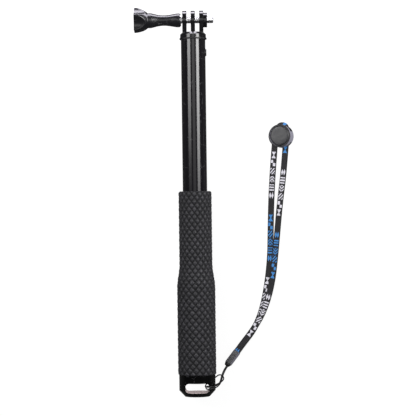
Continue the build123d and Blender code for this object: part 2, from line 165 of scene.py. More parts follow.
def grain_group():
    """Moulded grain: fine pits with a slower mottling under them."""
    tree, start, end = new_group(
        "MouldedGrain", [("Place", POINT, None), ("Size mm", FLOAT, 0.3)],
        [("Height", FLOAT), ("Mottle", FLOAT)])
    place = start.outputs["Place"]
    scale = calc(tree, "DIVIDE", 1.0, start.outputs["Size mm"])
    pits = put(tree, "ShaderNodeTexVoronoi", {"Vector": place, "Scale": scale}, feature="SMOOTH_F1")
    noise = put(tree, "ShaderNodeTexNoise", {
        "Vector": place, "Scale": calc(tree, "MULTIPLY", scale, 0.6), "Detail": 4.0})
    height = calc(tree, "ADD", calc(tree, "MULTIPLY", pits.outputs["Distance"], 0.6), noise.outputs["Fac"])
    mottle = put(tree, "ShaderNodeTexNoise", {
        "Vector": place, "Scale": calc(tree, "MULTIPLY", scale, 0.06), "Detail": 3.0})
    tree.links.new(height, end.inputs["Height"])
    tree.links.new(spread(tree, mottle.outputs["Fac"], 0.3, 0.7), end.inputs["Mottle"])
    return tree


def handling_group():
    """Handling marks: soft smears, hair scratches and a little settled dust."""
    tree, start, end = new_group(
        "HandlingMarks", [("Place", POINT, None), ("Scratch mm", FLOAT, 6.0)],
        [("Smear", FLOAT), ("Scratch", FLOAT), ("Dust", FLOAT)])
    place = start.outputs["Place"]
    smear = put(tree, "ShaderNodeTexNoise", {
        "Vector": place, "Scale": 0.07, "Detail": 5.0, "Roughness": 0.6, "Distortion": 1.2})
    tree.links.new(spread(tree, smear.outputs["Fac"], 0.38, 0.68), end.inputs["Smear"])
    warped = put(tree, "ShaderNodeTexNoise", {"Vector": place, "Scale": 0.11, "Detail": 1.0})
    bent = put(tree, "ShaderNodeVectorMath", {0: place, 1: warped.outputs["Color"]}, operation="ADD")
    cells = put(tree, "ShaderNodeTexVoronoi", {
        "Vector": bent.outputs[0], "Scale": calc(tree, "DIVIDE", 1.0, start.outputs["Scratch mm"])},
        feature="DISTANCE_TO_EDGE")
    line = calc(tree, "LESS_THAN", cells.outputs["Distance"], 0.006)
    broken = put(tree, "ShaderNodeTexNoise", {"Vector": place, "Scale": 0.35, "Detail": 2.0})
    scratch = calc(tree, "MULTIPLY", line, spread(tree, broken.outputs["Fac"], 0.5, 0.62))
    tree.links.new(scratch, end.inputs["Scratch"])
    specks = put(tree, "ShaderNodeTexVoronoi", {"Vector": place, "Scale": 0.9})
    near = spread(tree, specks.outputs["Distance"], 0.0, 0.09, 1.0, 0.0)
    dust = calc(tree, "MULTIPLY", near, spread(tree, broken.outputs["Fac"], 0.46, 0.6))
    tree.links.new(dust, end.inputs["Dust"])
    return tree


def drawn_group():
    """Fine lines along the pole, as a drawn tube or turned bar has; Round turns them about the axis."""
    tree, start, end = new_group(
        "DrawnLines", [("Place", POINT, None), ("Round", FLOAT, 0.0)], [("Height", FLOAT), ("Streak", FLOAT)])
    split = put(tree, "ShaderNodeSeparateXYZ", {"Vector": start.outputs["Place"]})
    x, y, z = (split.outputs[i] for i in range(3))
    turn = calc(tree, "MULTIPLY", calc(tree, "ARCTAN2", x, z), 9.0)
    along = put(tree, "ShaderNodeCombineXYZ", {"X": turn, "Y": calc(tree, "MULTIPLY", y, 0.02)})
    about = put(tree, "ShaderNodeCombineXYZ", {"X": calc(tree, "MULTIPLY", turn, 0.05), "Y": y})
    lines = put(tree, "ShaderNodeMix", {"Factor": start.outputs["Round"]}, data_type="VECTOR")
    tree.links.new(along.outputs[0], lines.inputs[4])
    tree.links.new(about.outputs[0], lines.inputs[5])
    fine = put(tree, "ShaderNodeTexNoise", {"Vector": lines.outputs[1], "Scale": 6.0, "Detail": 4.0})
    broad = put(tree, "ShaderNodeTexNoise", {"Vector": lines.outputs[1], "Scale": 1.2, "Detail": 2.0})
    tree.links.new(fine.outputs["Fac"], end.inputs["Height"])
    tree.links.new(spread(tree, broad.outputs["Fac"], 0.35, 0.65), end.inputs["Streak"])
    return tree


GRAIN, HANDLING, DRAWN = grain_group(), handling_group(), drawn_group()


def use_group(tree, group, inputs):
    return put(tree, "ShaderNodeGroup", inputs, node_tree=group)


def new_material(name):
    """A material with a Principled shader and its object coordinates in millimetres."""
    material = bpy.data.materials.new(name)
    material.use_nodes = True
    tree = material.node_tree
    shader = tree.nodes["Principled BSDF"]
    place = put(tree, "ShaderNodeTexCoord")
    scaled = put(tree, "ShaderNodeMapping", {"Vector": place.outputs["Object"], "Scale": (1 / MM,) * 3})
    return material, tree, shader, scaled.outputs[0]


def bump(tree, height, depth_mm, strength=1.0, normal=None):
    """A Bump node on a height of 0 to 1."""
    made = put(tree, "ShaderNodeBump", {"Height": height, "Distance": depth_mm * MM, "Strength": strength})
    if normal is not None:
        tree.links.new(normal, made.inputs["Normal"])
    return made.outputs["Normal"]


def moulded(name, colour, pale, roughness, grain_mm, grain_depth, gloss=0.5, coat=0.0):
    """Moulded plastic or rubber: mottled colour, grain, smears and hair scratches."""
    material, tree, shader, place = new_material(name)
    grain = use_group(tree, GRAIN, {"Place": place, "Size mm": grain_mm})
    marks = use_group(tree, HANDLING, {"Place": place})
    body = mix_colour(tree, calc(tree, "MULTIPLY", grain.outputs["Mottle"], 0.6), colour, pale)
    body = stained(tree, body, marks.outputs["Dust"], 0.25, (0.35, 0.34, 0.33))
    tree.links.new(stained(tree, body, marks.outputs["Scratch"], 0.2, (0.2, 0.2, 0.21)),
                   shader.inputs["Base Color"])
    rough = spread(tree, marks.outputs["Smear"], 0.0, 1.0, roughness * 0.86, roughness * 1.2)
    rough = calc(tree, "ADD", rough, calc(tree, "MULTIPLY", marks.outputs["Scratch"], 0.15))
    tree.links.new(rough, shader.inputs["Roughness"])
    tree.links.new(bump(tree, grain.outputs["Height"], grain_depth), shader.inputs["Normal"])
    shader.inputs["Specular IOR Level"].default_value = gloss
    shader.inputs["Coat Weight"].default_value = coat
    shader.inputs["Coat Roughness"].default_value = 0.08
    return material


def anodised(name, colour, pale, roughness, around):
    """Gloss black anodised aluminium with drawn or turned lines under it."""
    material, tree, shader, place = new_material(name)
    lines = use_group(tree, DRAWN, {"Place": place, "Round": around})
    marks = use_group(tree, HANDLING, {"Place": place, "Scratch mm": 14.0})
    body = mix_colour(tree, calc(tree, "MULTIPLY", lines.outputs["Streak"], 0.5), colour, pale)
    tree.links.new(stained(tree, body, marks.outputs["Scratch"], 0.25, (0.18, 0.18, 0.19)),
                   shader.inputs["Base Color"])
    rough = spread(tree, marks.outputs["Smear"], 0.0, 1.0, roughness * 0.8, roughness * 1.25)
    tree.links.new(calc(tree, "ADD", rough, calc(tree, "MULTIPLY", lines.outputs["Streak"], 0.02)),
                   shader.inputs["Roughness"])
    tree.links.new(bump(tree, lines.outputs["Height"], 0.004), shader.inputs["Normal"])
    shader.inputs["Specular IOR Level"].default_value = 0.5
    return material


def plated(name, colour, roughness, around):
    """Plated or bright steel."""
    material, tree, shader, place = new_material(name)
    lines = use_group(tree, DRAWN, {"Place": place, "Round": around})
    marks = use_group(tree, HANDLING, {"Place": place, "Scratch mm": 3.0})
    tone = calc(tree, "MULTIPLY", lines.outputs["Streak"], 0.3)
    body = mix_colour(tree, tone, colour, tuple(c * 0.7 for c in colour))
    tree.links.new(stained(tree, body, marks.outputs["Dust"], 0.3, (0.25, 0.22, 0.19)),
                   shader.inputs["Base Color"])
    tree.links.new(spread(tree, marks.outputs["Smear"], 0.0, 1.0, roughness * 0.8, roughness * 1.4),
                   shader.inputs["Roughness"])
    tree.links.new(bump(tree, lines.outputs["Height"], 0.006), shader.inputs["Normal"])
    shader.inputs["Metallic"].default_value = 1.0
    return material


# ------------------------ finishes
TURNED_BLACK = ((0.0005, 0.0005, 0.0006), (0.001, 0.001, 0.0012), 0.13, 1.0)
BLACK, SOOT, CHARCOAL = (0.004, 0.004, 0.005), (0.007, 0.007, 0.008), (0.014, 0.014, 0.016)
FINISH = {
    "black_anodised": anodised("turned black anodising", *TURNED_BLACK),
    "gloss_black_tube": anodised("drawn black anodising", (0.0048, 0.0042, 0.0055), SOOT, 0.1, 0.0),
    "black_nylon": moulded("black nylon", BLACK, CHARCOAL, 0.42, 0.35, 0.01),
    "natural_nylon": moulded("natural nylon", (0.72, 0.69, 0.61), (0.8, 0.78, 0.72), 0.4, 0.35, 0.01),
    "black_rubber": moulded("black rubber", BLACK, SOOT, 0.5, 0.25, 0.015, 0.3),
    "head_plastic": moulded("gloss head moulding", (0.003, 0.003, 0.0035), SOOT, 0.16, 0.5, 0.004),
    "knob_plastic": moulded("knob moulding", (0.005, 0.005, 0.006), (0.01, 0.01, 0.012), 0.24, 0.4, 0.005),
    "clip_plastic": moulded("clip moulding", (0.026, 0.026, 0.029), (0.04, 0.04, 0.045), 0.42, 0.3, 0.012),
    "slider_plastic": moulded(
        "slider moulding", (0.0105, 0.0105, 0.0125), (0.0185, 0.0185, 0.022), 0.42, 0.35, 0.014),
    "steel": plated("zinc plated steel", (0.6, 0.6, 0.6), 0.3, 1.0),
    "bright_steel": plated("bright steel", (0.78, 0.78, 0.79), 0.3, 0.0),
}


def strand_group():
    """The grip's woven relief as masks: which strand is on top, its fine cords and the gaps between, where
    shade is painted.
    """
    tree, start, end = new_group(
        "WovenStrands", [("Place", POINT, None), ("Columns", FLOAT, None), ("Pitch mm", FLOAT, None),
                         ("First row mm", FLOAT, None), ("Turn", FLOAT, None)],
        [("Cords", FLOAT), ("Gap", FLOAT), ("Tone", FLOAT)])
    split = put(tree, "ShaderNodeSeparateXYZ", {"Vector": start.outputs["Place"]})
    turn = calc(tree, "ARCTAN2", split.outputs[0], split.outputs[2])
    turn = calc(tree, "ADD", turn, start.outputs["Turn"])
    around = calc(tree, "DIVIDE", calc(tree, "MULTIPLY", turn, start.outputs["Columns"]), TAU)
    along = calc(tree, "DIVIDE", calc(tree, "SUBTRACT", start.outputs["First row mm"], split.outputs[1]),
                 start.outputs["Pitch mm"])
    p, q = calc(tree, "ADD", around, along), calc(tree, "SUBTRACT", around, along)
    whole_p, whole_q = calc(tree, "ROUND", p), calc(tree, "ROUND", q)
    over = calc(tree, "ABSOLUTE", calc(tree, "MODULO", calc(tree, "ADD", whole_p, whole_q), 2.0))
    strand = put(tree, "ShaderNodeMix", {"Factor": over})
    tree.links.new(p, strand.inputs["A"])
    tree.links.new(q, strand.inputs["B"])
    cords = calc(tree, "SINE", calc(tree, "MULTIPLY", strand.outputs[0], TAU * 5))
    off_p = calc(tree, "ABSOLUTE", calc(tree, "SUBTRACT", p, whole_p))
    off_q = calc(tree, "ABSOLUTE", calc(tree, "SUBTRACT", q, whole_q))
    edge = calc(tree, "MAXIMUM", off_p, off_q)
    tone = put(tree, "ShaderNodeTexWhiteNoise", {
        "Vector": put(tree, "ShaderNodeCombineXYZ", {"X": whole_p, "Y": whole_q}).outputs[0]})
    tree.links.new(calc(tree, "MULTIPLY_ADD", cords, 0.5, 0.5), end.inputs["Cords"])
    tree.links.new(spread(tree, edge, 0.3, 0.48), end.inputs["Gap"])
    tree.links.new(tone.outputs["Value"], end.inputs["Tone"])
    return tree


# ------------------------ mesh helpers


def finish_piece(name, bm, body, material, slot, *nodes, sharp_deg=35):
    """Makes a bmesh into a piece in metres that rides on a body and stands for CAD nodes."""
    bmesh.ops.remove_doubles(bm, verts=bm.verts, dist=1e-4)
    bmesh.ops.recalc_face_normals(bm, faces=bm.faces)
    bmesh.ops.scale(bm, vec=(MM,) * 3, verts=bm.verts)
    mesh = bpy.data.meshes.new(name)
    bm.to_mesh(mesh)
    bm.free()
    mesh.shade_smooth()
    mesh.set_sharp_from_angle(angle=math.radians(sharp_deg))
    mesh.materials.append(material)
    piece = bpy.data.objects.new(name, mesh)
    scene.collection.objects.link(piece)
    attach(piece, body)
    if nodes:
        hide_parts(*nodes)
    return piece


def outline_wire(bm, corners, lengths=None, closed=True):
    """Vertices and edges through the corners; lengths gives how many pieces each edge is cut into."""
    made = [bm.verts.new(corner) for corner in corners]
    pairs = list(zip(made, made[1:] + made[:1])) if closed else list(zip(made, made[1:]))
    edges = [bm.edges.new(pair) for pair in pairs]
    for edge, cuts in zip(edges, lengths or []):
        if cuts > 1:
            bmesh.ops.subdivide_edges(bm, edges=[edge], cuts=cuts - 1)
    return made


def turn_outline(bm, axis, centre, steps):
    """Spins everything in the bmesh into a full turn."""
    bmesh.ops.spin(bm, geom=bm.verts[:] + bm.edges[:], cent=centre, axis=axis, dvec=(0, 0, 0), angle=TAU,
                   steps=steps, use_merge=True, use_duplicate=False)


def smooth_step(value, low, high):
    share = min(1.0, max(0.0, (value - low) / (high - low)))
    return share * share * (3 - 2 * share)


# ------------------------ grip
GRIP_LOW, GRIP_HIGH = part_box("grip_sleeve")[0].y / MM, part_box("grip_sleeve")[1].y / MM
GRIP_WIDE_R, GRIP_SLIM_R, GRIP_BORE_R, GRIP_LIP_R = 13.75, 11.9, 10.52, 9.05
GRIP_LIP_LENGTH, GRIP_THINNEST = 1.4, 0.15
FLARE = (GRIP_LOW + 62.6, GRIP_LOW + 79.6)
WEAVE_COLUMNS, WEAVE_PITCH, WEAVE_FIRST, WEAVE_TURN = 17, 5.48, GRIP_HIGH - 2.1, 0.05
WEAVE_DEPTH = 1.22
GRIP_END_ROUND = 1.3
GRIP_STEPS, GRIP_ROWS = 238, 300


def weave_height(turn, height):
    """Height of the woven relief, 0 in a gap to 1 on a crest."""
    around = (turn + WEAVE_TURN) * WEAVE_COLUMNS / TAU
    along = (WEAVE_FIRST - height) / WEAVE_PITCH
    p, q = around + along, around - along
    off_p, off_q = 2 * abs(p - round(p)), 2 * abs(q - round(q))
    if (round(p) + round(q)) % 2:
        off_p, off_q = off_q, off_p
    return (1 - 0.95 * off_p ** 4) * (1 - 0.85 * off_q ** 4)


def make_grip():
    bm = bmesh.new()
    outline_wire(bm, [
        (0, GRIP_LOW, GRIP_WIDE_R), (0, GRIP_HIGH, GRIP_WIDE_R), (0, GRIP_HIGH, GRIP_LIP_R),
        (0, GRIP_HIGH - GRIP_LIP_LENGTH, GRIP_LIP_R), (0, GRIP_HIGH - GRIP_LIP_LENGTH, GRIP_BORE_R),
        (0, GRIP_LOW, GRIP_BORE_R)],
        [GRIP_ROWS, 3, 1, 1, 1, 3])
    turn_outline(bm, (0, 1, 0), (0, 0, 0), GRIP_STEPS)
    for vert in bm.verts:
        radius = math.hypot(vert.co.x, vert.co.z)
        if radius < GRIP_WIDE_R - 0.01:
            if radius > GRIP_LIP_R + 0.01 and vert.co.y > GRIP_HIGH - 0.01:
                share = (radius - GRIP_LIP_R) / (GRIP_WIDE_R - GRIP_LIP_R)
                wanted = GRIP_LIP_R + share * (GRIP_SLIM_R - 1.0 - GRIP_LIP_R)
                vert.co.x *= wanted / radius
                vert.co.z *= wanted / radius
            continue
        height = vert.co.y
        envelope = GRIP_WIDE_R + (GRIP_SLIM_R - GRIP_WIDE_R) * smooth_step(height, *FLARE)
        relief = WEAVE_DEPTH * (1 - weave_height(math.atan2(vert.co.x, vert.co.z), height))
        near_end = max(0.0, GRIP_END_ROUND - min(height - GRIP_LOW, GRIP_HIGH - height))
        rounding = GRIP_END_ROUND - math.sqrt(max(0.0, GRIP_END_ROUND ** 2 - near_end ** 2))
        outside = envelope - relief * (1 - 0.5 * near_end / GRIP_END_ROUND) - rounding * 0.8
        wanted = max(outside, GRIP_BORE_R + GRIP_THINNEST)
        vert.co.x *= wanted / radius
        vert.co.z *= wanted / radius
    material, tree, shader, place = new_material("woven grip rubber")
    strands = use_group(tree, STRANDS, {
        "Place": place, "Columns": float(WEAVE_COLUMNS), "Pitch mm": WEAVE_PITCH, "First row mm": WEAVE_FIRST,
        "Turn": WEAVE_TURN})
    grain = use_group(tree, GRAIN, {"Place": place, "Size mm": 0.25})
    marks = use_group(tree, HANDLING, {"Place": place})
    body = mix_colour(tree, strands.outputs["Tone"], (0.0135, 0.0133, 0.0157), (0.021, 0.0203, 0.0245))
    # painted shade: the gaps between strands are darkened
    body = mix_colour(tree, strands.outputs["Gap"], body, (0.003, 0.003, 0.004))
    body = stained(tree, body, marks.outputs["Dust"], 0.3, (0.22, 0.21, 0.2))
    tree.links.new(body, shader.inputs["Base Color"])
    rough = spread(tree, marks.outputs["Smear"], 0.0, 1.0, 0.46, 0.58)
    tree.links.new(calc(tree, "MULTIPLY_ADD", strands.outputs["Gap"], 0.2, rough), shader.inputs["Roughness"])
    solid = calc(tree, "SUBTRACT", 1.0, strands.outputs["Gap"])
    fine = calc(tree, "MULTIPLY", strands.outputs["Cords"], solid)
    tree.links.new(bump(tree, grain.outputs["Height"], 0.02, normal=bump(tree, fine, 0.035)),
                   shader.inputs["Normal"])
    shader.inputs["Specular IOR Level"].default_value = 0.3
    shader.inputs["Sheen Weight"].default_value = 0.03
    return finish_piece("grip_sleeve_woven", bm, "handle", material, "grip_rubber", "grip_sleeve",
                        sharp_deg=80)


# ------------------------ thumb screw
SCREW_Y = (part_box("thumb_screw_stud")[0].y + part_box("thumb_screw_stud")[1].y) / 2 / MM
KNOB_END, STEM_KNOB_END, STEM_END = -42.3, -32.3, -9.0
KNOB_R, STEM_KNOB_R, STEM_WAIST_R, STEM_R = 9.5, 5.35, 3.75, 4.95
STUD_R, STUD_ROOT_R, STUD_TIP, THREAD_PITCH = 2.45, 2.02, 14.7, 0.8
STUD_SUNK, BORE_DEPTH = 3.9, 4.0     # how deep the stud and its bore go into the stem
SCOOPS, SCOOP_R, SCOOP_CENTRE_R, SCOOP_X, SCOOP_FIRST = 5, 8.0, 14.3, -39.5, math.radians(-15)
SCOOP_SPOON = 0.014          # how the scoops shallow towards both ends


def knob_radius(x):
    """The knob's and stem's radius before the scoops are cut."""
    if x <= STEM_KNOB_END:
        share = (x - KNOB_END) / (STEM_KNOB_END - KNOB_END)
        return KNOB_R + (STEM_KNOB_R - KNOB_R) * share ** 2.1
    low, high = STEM_KNOB_END + 2.2, STEM_END - 2.4
    if x <= low:
        return STEM_KNOB_R
    if x >= high:
        return STEM_R
    share = (x - low) / (high - low)
    ends = STEM_KNOB_R + (STEM_R - STEM_KNOB_R) * share
    return ends - (ends - STEM_WAIST_R) * math.sin(math.pi * share) ** 1.15


def soft_min(first, second, blend):
    share = max(0.0, min(1.0, 0.5 + 0.5 * (second - first) / blend))
    return second + (first - second) * share - blend * share * (1 - share)


def scooped(x, turn, radius):
    """The radius left at a turn about the screw once the finger scoops are cut, their ridges eased."""
    for index in range(SCOOPS):
        off = (turn - SCOOP_FIRST - index * TAU / SCOOPS + math.pi) % TAU - math.pi
        centre = SCOOP_CENTRE_R + SCOOP_SPOON * (x - SCOOP_X) ** 2
        inside = SCOOP_R ** 2 - (centre * math.sin(off)) ** 2
        if abs(off) < math.pi / 2 and inside > 0:
            radius = soft_min(radius, centre * math.cos(off) - math.sqrt(inside), 0.5)
    return radius


def make_knob():
    bm = bmesh.new()
    bore, bore_end = STUD_R + 0.02, STEM_END - BORE_DEPTH
    outline_wire(bm, [
        (KNOB_END + 0.85, 0, 0), (KNOB_END + 0.6, 0, KNOB_R * 0.42), (KNOB_END + 0.05, 0, KNOB_R * 0.78),
        (KNOB_END, 0, KNOB_R), (STEM_END, 0, STEM_R), (STEM_END, 0, bore),
        (bore_end, 0, bore), (bore_end, 0, 0)],
        [4, 4, 5, 110, 3, 2, 2], closed=False)
    turn_outline(bm, (1, 0, 0), (0, 0, 0), 150)
    for vert in bm.verts:
        x, turn = vert.co.x, math.atan2(vert.co.y, vert.co.z)
        radius = math.hypot(vert.co.y, vert.co.z)
        if radius < 1e-6 or radius < bore + 0.01 and x > bore_end - 0.1:
            continue
        if x < KNOB_END + 1.0 and radius < KNOB_R - 0.4:
            # the end face follows the lobes
            lobe = scooped(KNOB_END + 0.7, turn, KNOB_R) / KNOB_R
            share = radius / KNOB_R
            wanted = radius * (1 + (lobe - 1) * share ** 2)
        elif x >= STEM_END - 0.01:
            wanted = radius - (0.35 if radius > STEM_R - 0.01 else 0.0)
        else:
            end_ease = max(0.0, 0.8 - (x - KNOB_END))
            tail_ease = max(0.0, 0.5 - (STEM_END - x))
            skin = knob_radius(x) - (0.8 - math.sqrt(max(0.0, 0.64 - end_ease ** 2))) * 0.9 - tail_ease * 0.6
            wanted = scooped(x, turn, skin)
        vert.co.y *= wanted / radius
        vert.co.z *= wanted / radius
    bmesh.ops.translate(bm, vec=(0, SCREW_Y, 0), verts=bm.verts)
    return finish_piece("thumb_screw_knob_scooped", bm, "thumb_screw", FINISH["knob_plastic"], "knob_plastic",
                        "thumb_screw_knob", sharp_deg=50)


def make_stud():
    """The stud with a rolled thread, its root and crest eased."""
    bm = bmesh.new()
    low = STEM_END - STUD_SUNK
    rows = round((STUD_TIP - low) / THREAD_PITCH * 8)
    outline_wire(bm, [(low, 0, 0), (low, 0, STUD_R), (STUD_TIP, 0, STUD_R), (STUD_TIP, 0, 0)], [1, rows, 3],
                 closed=False)
    turn_outline(bm, (1, 0, 0), (0, 0, 0), 40)
    for vert in bm.verts:
        radius = math.hypot(vert.co.y, vert.co.z)
        if radius < 1e-6:
            continue
        turn = math.atan2(vert.co.y, vert.co.z) / TAU
        phase = ((vert.co.x - low) / THREAD_PITCH - turn) % 1.0
        crest = smooth_step(abs(2 * phase - 1), 0.12, 0.88)
        wanted = STUD_ROOT_R + (STUD_R - STUD_ROOT_R) * crest
        wanted = min(wanted, STUD_R - 0.75 + max(0.0, (STUD_TIP - vert.co.x)) * 1.1)
        if vert.co.x > STUD_TIP - 0.01:
            wanted = min(radius, STUD_R - 0.75)
            vert.co.x += 0.0 if radius > 1.6 else 0.12 * (1 - radius / 1.6)
        vert.co.y *= wanted / radius
        vert.co.z *= wanted / radius
    for vert in bm.verts:
        vert.co.x = min(vert.co.x, STUD_TIP)
    bmesh.ops.translate(bm, vec=(0, SCREW_Y, 0), verts=bm.verts)
    return finish_piece("thumb_screw_stud_threaded", bm, "thumb_screw", FINISH["bright_steel"],
                        "bright_steel", "thumb_screw_stud", sharp_deg=60)


# ------------------------ cords
STRAP_ROUTE = [
    (27.5, 28.5, -11.6), (33.2, 36.1, -12.1), (41.6, 46.6, -12.4), (47.4, 59.8, -12.4),
    (51.3, 77.6, -12.4), (53.8, 98.0, -12.4), (54.4, 118.0, -12.3), (55.0, 138.0, -11.4),
    (56.1, 157.0, -10.4), (57.5, 173.5, -10.4), (58.6, 185.4, -10.0), (59.3, 191.6, -9.2),
    (62.0, 195.1, -8.3), (66.2, 194.6, -6.9), (67.6, 190.8, -6.5), (66.4, 184.6, -7.2),
    (65.3, 173.0, -7.4), (63.8, 157.0, -7.4), (61.4, 139.5, -8.0), (59.5, 121.0, -9.0),
    (57.6, 101.5, -9.6), (54.9, 79.5, -9.9), (49.3, 60.8, -10.6), (41.3, 46.9, -11.2),
    (32.8, 36.4, -10.9), (27.2, 28.8, -10.5),
]
TETHER_ROUTE = [
    (22.4, 22.1, -11.2), (20.3, 19.2, -10.7), (18.5, 16.2, -9.0), (17.3, 12.9, -6.4), (16.4, 9.9, -1.4),
    (14.6, 8.3, 3.8), (12.0, 7.5, 8.6), (8.5, 7.3, 11.4), (6.0, 7.3, 8.8), (5.6, 7.2, 4.0),
    (5.9, 7.3, -1.0), (6.0, 7.4, -6.0), (6.7, 7.9, -10.9), (9.6, 9.6, -12.5), (13.0, 12.4, -10.4),
    (15.4, 14.5, -7.2), (17.5, 14.5, -5.2), (19.0, 12.9, -4.8), (18.8, 10.8, -6.4), (16.4, 8.6, -8.4),
    (13.4, 7.0, -10.8), (9.6, 5.9, -12.4), (6.7, 5.9, -10.2), (6.1, 5.9, -5.6), (6.1, 5.8, -0.8),
    (6.2, 5.9, 4.4), (6.7, 5.8, 9.2), (9.2, 5.9, 11.6), (12.6, 6.5, 8.8), (15.1, 7.5, 3.4),
    (16.9, 9.3, -2.6), (17.9, 12.3, -7.8), (19.2, 15.6, -10.2), (20.9, 18.7, -11.4), (23.0, 21.6, -11.6),
]
STRAP_LENGTH, STRAP_WIDTH, STRAP_THICK = 355.2, 4.5, 1.0
TETHER_LENGTH, TETHER_D = 148.7, 0.95
UP = Vector((0, 0, 1))


def smooth_line(route, resolution):
    """Points of the NURBS curve that has the route's points as its control points, in millimetres."""
    curve = bpy.data.curves.new("line", "CURVE")
    curve.dimensions = "3D"
    curve.resolution_u = resolution
    spline = curve.splines.new("NURBS")
    spline.points.add(len(route) - 1)
    for point, place in zip(spline.points, route):
        point.co = (*place, 1.0)
    spline.order_u = 3
    spline.use_endpoint_u = True
    holder = bpy.data.objects.new("line", curve)
    scene.collection.objects.link(holder)
    mesh = bpy.data.meshes.new_from_object(holder)
    points = [vert.co.copy() for vert in mesh.vertices]
    bpy.data.objects.remove(holder)
    bpy.data.meshes.remove(mesh)
    return points


def runs_of(points):
    """Distance along the line at each point."""
    runs = [0.0]
    for before, here in zip(points, points[1:]):
        runs.append(runs[-1] + (here - before).length)
    return runs


def headings_of(points):
    ahead = points[1:] + points[-1:]
    behind = points[:1] + points[:-1]
    return [(b - a).normalized() for a, b in zip(behind, ahead)]


def skin(points, section, outs):
    """A closed skin along a line.

    section gives the (across, out) pairs round it, or functions that give them at a step, and outs gives
    each point's outward direction. Returns the bmesh and the layers that hold each vertex's step and side.
    """
    bm = bmesh.new()
    steps, sides = len(points) - 1, len(section)
    bmesh.ops.create_grid(bm, x_segments=sides, y_segments=steps, size=0.5)
    step_layer = bm.verts.layers.int.new("step")
    side_layer = bm.verts.layers.int.new("side")
    headings = headings_of(points)
    for vert in bm.verts:
        side, step = round((vert.co.x + 0.5) * sides) % sides, round((vert.co.y + 0.5) * steps)
        out = (outs[step] - headings[step] * outs[step].dot(headings[step])).normalized()
        across = headings[step].cross(out)
        shape = section[side](step) if callable(section[side]) else section[side]
        vert.co = points[step] + across * shape[0] + out * shape[1]
        vert[step_layer], vert[side_layer] = step, side
    bmesh.ops.remove_doubles(bm, verts=bm.verts, dist=1e-5)
    rims = [edge for edge in bm.edges if edge.is_boundary]
    bmesh.ops.holes_fill(bm, edges=rims, sides=0)
    return bm, step_layer, side_layer


# print on the strap: groups of six marks, white and blue in turn, in millimetres along it
GROUP_LENGTH, GROUP_PERIOD, GROUP_GAP = 35.2, 45.6, 10.4
MARKS_IN_GROUP, MARK_FILL, MARK_WIDTH = 6, 0.78, 0.74


def mark_at(kind, along, across):
    """True inside one of the six printed marks; along runs 0 to 1 and across -1 to 1."""
    middle = 2 * along - 1
    if kind == 0:                                   # two small diamonds side by side
        return abs(middle) + abs(abs(across) - 0.5) * 2 < 1
    if kind == 1:                                   # three thin bars across
        return abs((along * 2.5) % 1 - 0.25) < 0.27
    if kind == 2:                                   # nested chevrons
        return (along * 2.2 + abs(across) * 0.9) % 1 < 0.48
    if kind == 3:                                   # slanted stripes
        return (along * 1.8 + across * 0.8) % 1 < 0.46
    if kind == 4:                                   # four checks
        return (middle > 0) == (across > 0)
    return abs(across) < abs(middle) * 0.9 + 0.1    # two wedges point to point


def ink_at(run, across, first):
    """(white, blue) printed at a place on the strap; first is where a white group ends."""
    phase = (run - first) % (2 * GROUP_PERIOD)
    blue = phase < GROUP_PERIOD
    within = (phase if blue else phase - GROUP_PERIOD) - GROUP_GAP
    if not 0 <= within < GROUP_LENGTH or abs(across) > MARK_WIDTH:
        return 0.0, 0.0
    cell = GROUP_LENGTH / MARKS_IN_GROUP
    along = (within % cell) / cell / MARK_FILL
    if along > 1 or not mark_at(int(within // cell), along, across / MARK_WIDTH):
        return 0.0, 0.0
    return (0.0, 1.0) if blue else (1.0, 0.0)


STRAP_ROLL, ARCH_ROLL = math.radians(21), math.radians(60)
ARCH_LOW, ARCH_HIGH = 184.0, 193.0
PLAIN_ABOVE, APEX_MARK = 187.5, (64.3, 66.0)    # no print on the arch, but for one mark at its apex
WHITE_END = 176.3            # where a white group ends on the left run


def make_strap():
    """Printed webbing: flat along its two runs, turned on edge round the arch above the slider."""
    points = smooth_line(STRAP_ROUTE, 56)
    runs, headings = runs_of(points), headings_of(points)
    top = max(range(len(points)), key=lambda i: points[i].y)
    first = next(run for run, point in zip(runs, points) if point.y > WHITE_END)
    outs = []
    for index, (point, heading) in enumerate(zip(points, headings)):
        roll = STRAP_ROLL if index < top else -STRAP_ROLL
        roll += (ARCH_ROLL - roll) * smooth_step(point.y, ARCH_LOW, ARCH_HIGH)
        sideways = UP.cross(heading).normalized()
        upward = heading.cross(sideways)
        outs.append(upward * math.cos(roll) + sideways * math.sin(roll))
    half, thin = STRAP_WIDTH / 2, STRAP_THICK / 2
    columns = 18
    face = [(half * 0.93 * (2 * i / columns - 1), thin) for i in range(columns + 1)]
    section = face + [(half * 0.985, thin * 0.72), (half, 0), (half * 0.985, -thin * 0.72)]
    section += [(half * 0.93 * (1 - 2 * i / 6), -thin) for i in range(7)]
    section += [(-half * 0.985, -thin * 0.72), (-half, 0), (-half * 0.985, thin * 0.72)]
    bm, steps, sides = skin(points, section, outs)
    places = [(vert[steps], vert[sides]) for vert in bm.verts]
    along = bm.verts.layers.float.new("along")
    across = bm.verts.layers.float.new("across")
    white, blue = bm.verts.layers.float.new("white_ink"), bm.verts.layers.float.new("blue_ink")
    for vert, (step, side) in zip(bm.verts, places):
        vert[along], vert[across] = runs[step], section[side][0] / half
        on_arch = points[step].y > PLAIN_ABOVE
        at_apex = APEX_MARK[0] < points[step].x < APEX_MARK[1] and points[step].y > ARCH_HIGH
        if at_apex and side <= columns:
            vert[blue] = 1.0
        elif side <= columns and not on_arch:
            vert[white], vert[blue] = ink_at(runs[step], -section[side][0] / half, first)
    piece = finish_piece("wrist_strap_webbing", bm, "handle", webbing(), "printed_webbing", "wrist_strap",
                         sharp_deg=60)
    return piece, points[::8] + points[-1:]


